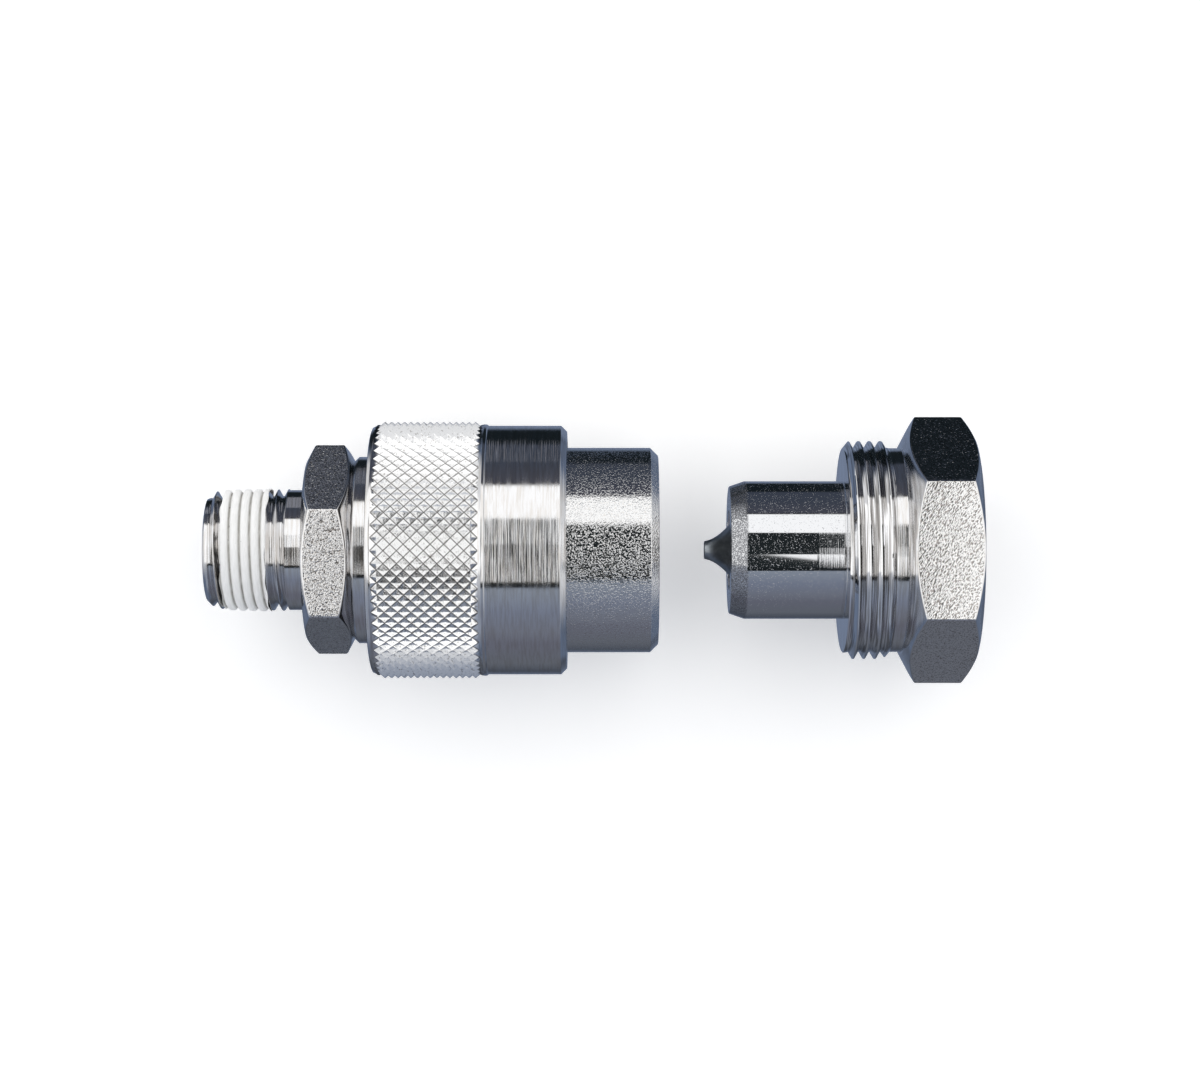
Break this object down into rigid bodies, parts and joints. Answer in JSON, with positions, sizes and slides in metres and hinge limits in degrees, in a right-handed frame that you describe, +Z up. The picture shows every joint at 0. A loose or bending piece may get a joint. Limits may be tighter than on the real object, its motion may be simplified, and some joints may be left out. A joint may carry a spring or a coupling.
{
  "type": "hydraulic quick coupler",
  "caption": "Screw-together hydraulic quick coupler: socket half with knurled threaded collar and pipe nipple, and plug half with threaded nose ring, hexagon and female port.",
  "frame": {"origin": "on the coupler's axis, at the centre of the laid-out pair's bounding box", "axes": "+X along the axis from the socket half to the plug half, +Z up from the surface that it lies on"},
  "size_m": [0.1056, 0.037, 0.0356],
  "materials": {
    "plated_steel": "bright nickel plate over turned steel",
    "knurled_steel": "bright nickel plate over knurled and turned steel",
    "blackened_steel": "black oxide",
    "guide_steel": "machined",
    "spring_wire": "drawn spring wire",
    "nitrile_rubber": "moulded, oiled",
    "ptfe_ring": "machined PTFE",
    "ptfe_tape": "stretched PTFE tape"
  },
  "bodies": {
    "socket": {"socket_body": "plated_steel", "rear_adapter": "plated_steel", "thread_tape": "ptfe_tape", "spigot_o_ring": "nitrile_rubber", "spigot_backup_ring": "ptfe_ring", "nose_o_ring": "nitrile_rubber", "nose_backup_ring": "ptfe_ring", "socket_spring": "spring_wire", "socket_valve_guide": "guide_steel"},
    "snap_ring": {"collar_snap_ring": "spring_wire"},
    "collar": {"collar": "knurled_steel"},
    "socket_valve": {"socket_poppet": "blackened_steel", "socket_poppet_seal": "nitrile_rubber"},
    "plug_valve": {"plug_poppet": "blackened_steel", "plug_poppet_seal": "nitrile_rubber"},
    "plug": {"plug_body": "plated_steel", "plug_spring": "spring_wire", "plug_valve_guide": "guide_steel", "plug_circlip": "spring_wire"}
  },
  "joints": [
    {"name": "collar_slide", "type": "slide", "parent": "socket", "child": "snap_ring", "axis": [1, 0, 0], "range_m": [-0.0024, 0.02]},
    {"name": "collar_turn", "type": "hinge", "parent": "snap_ring", "child": "collar", "pos_m": [-0.0272, 0, 0], "axis": [1, 0, 0], "continuous": true},
    {"name": "socket_valve_slide", "type": "slide", "parent": "socket", "child": "socket_valve", "axis": [-1, 0, 0], "range_m": [0, 0.0029], "stiffness_N_per_m": 2500, "deforming": ["socket_spring"]},
    {"name": "plug_approach", "type": "slide", "parent": "socket_valve", "child": "plug_valve", "axis": [-1, 0, 0], "range_m": [0, 0.0194]},
    {"name": "plug_valve_slide", "type": "slide", "parent": "plug_valve", "child": "plug", "axis": [-1, 0, 0], "range_m": [0, 0.0029], "stiffness_N_per_m": 2500, "deforming": ["plug_spring"]}
  ]
}
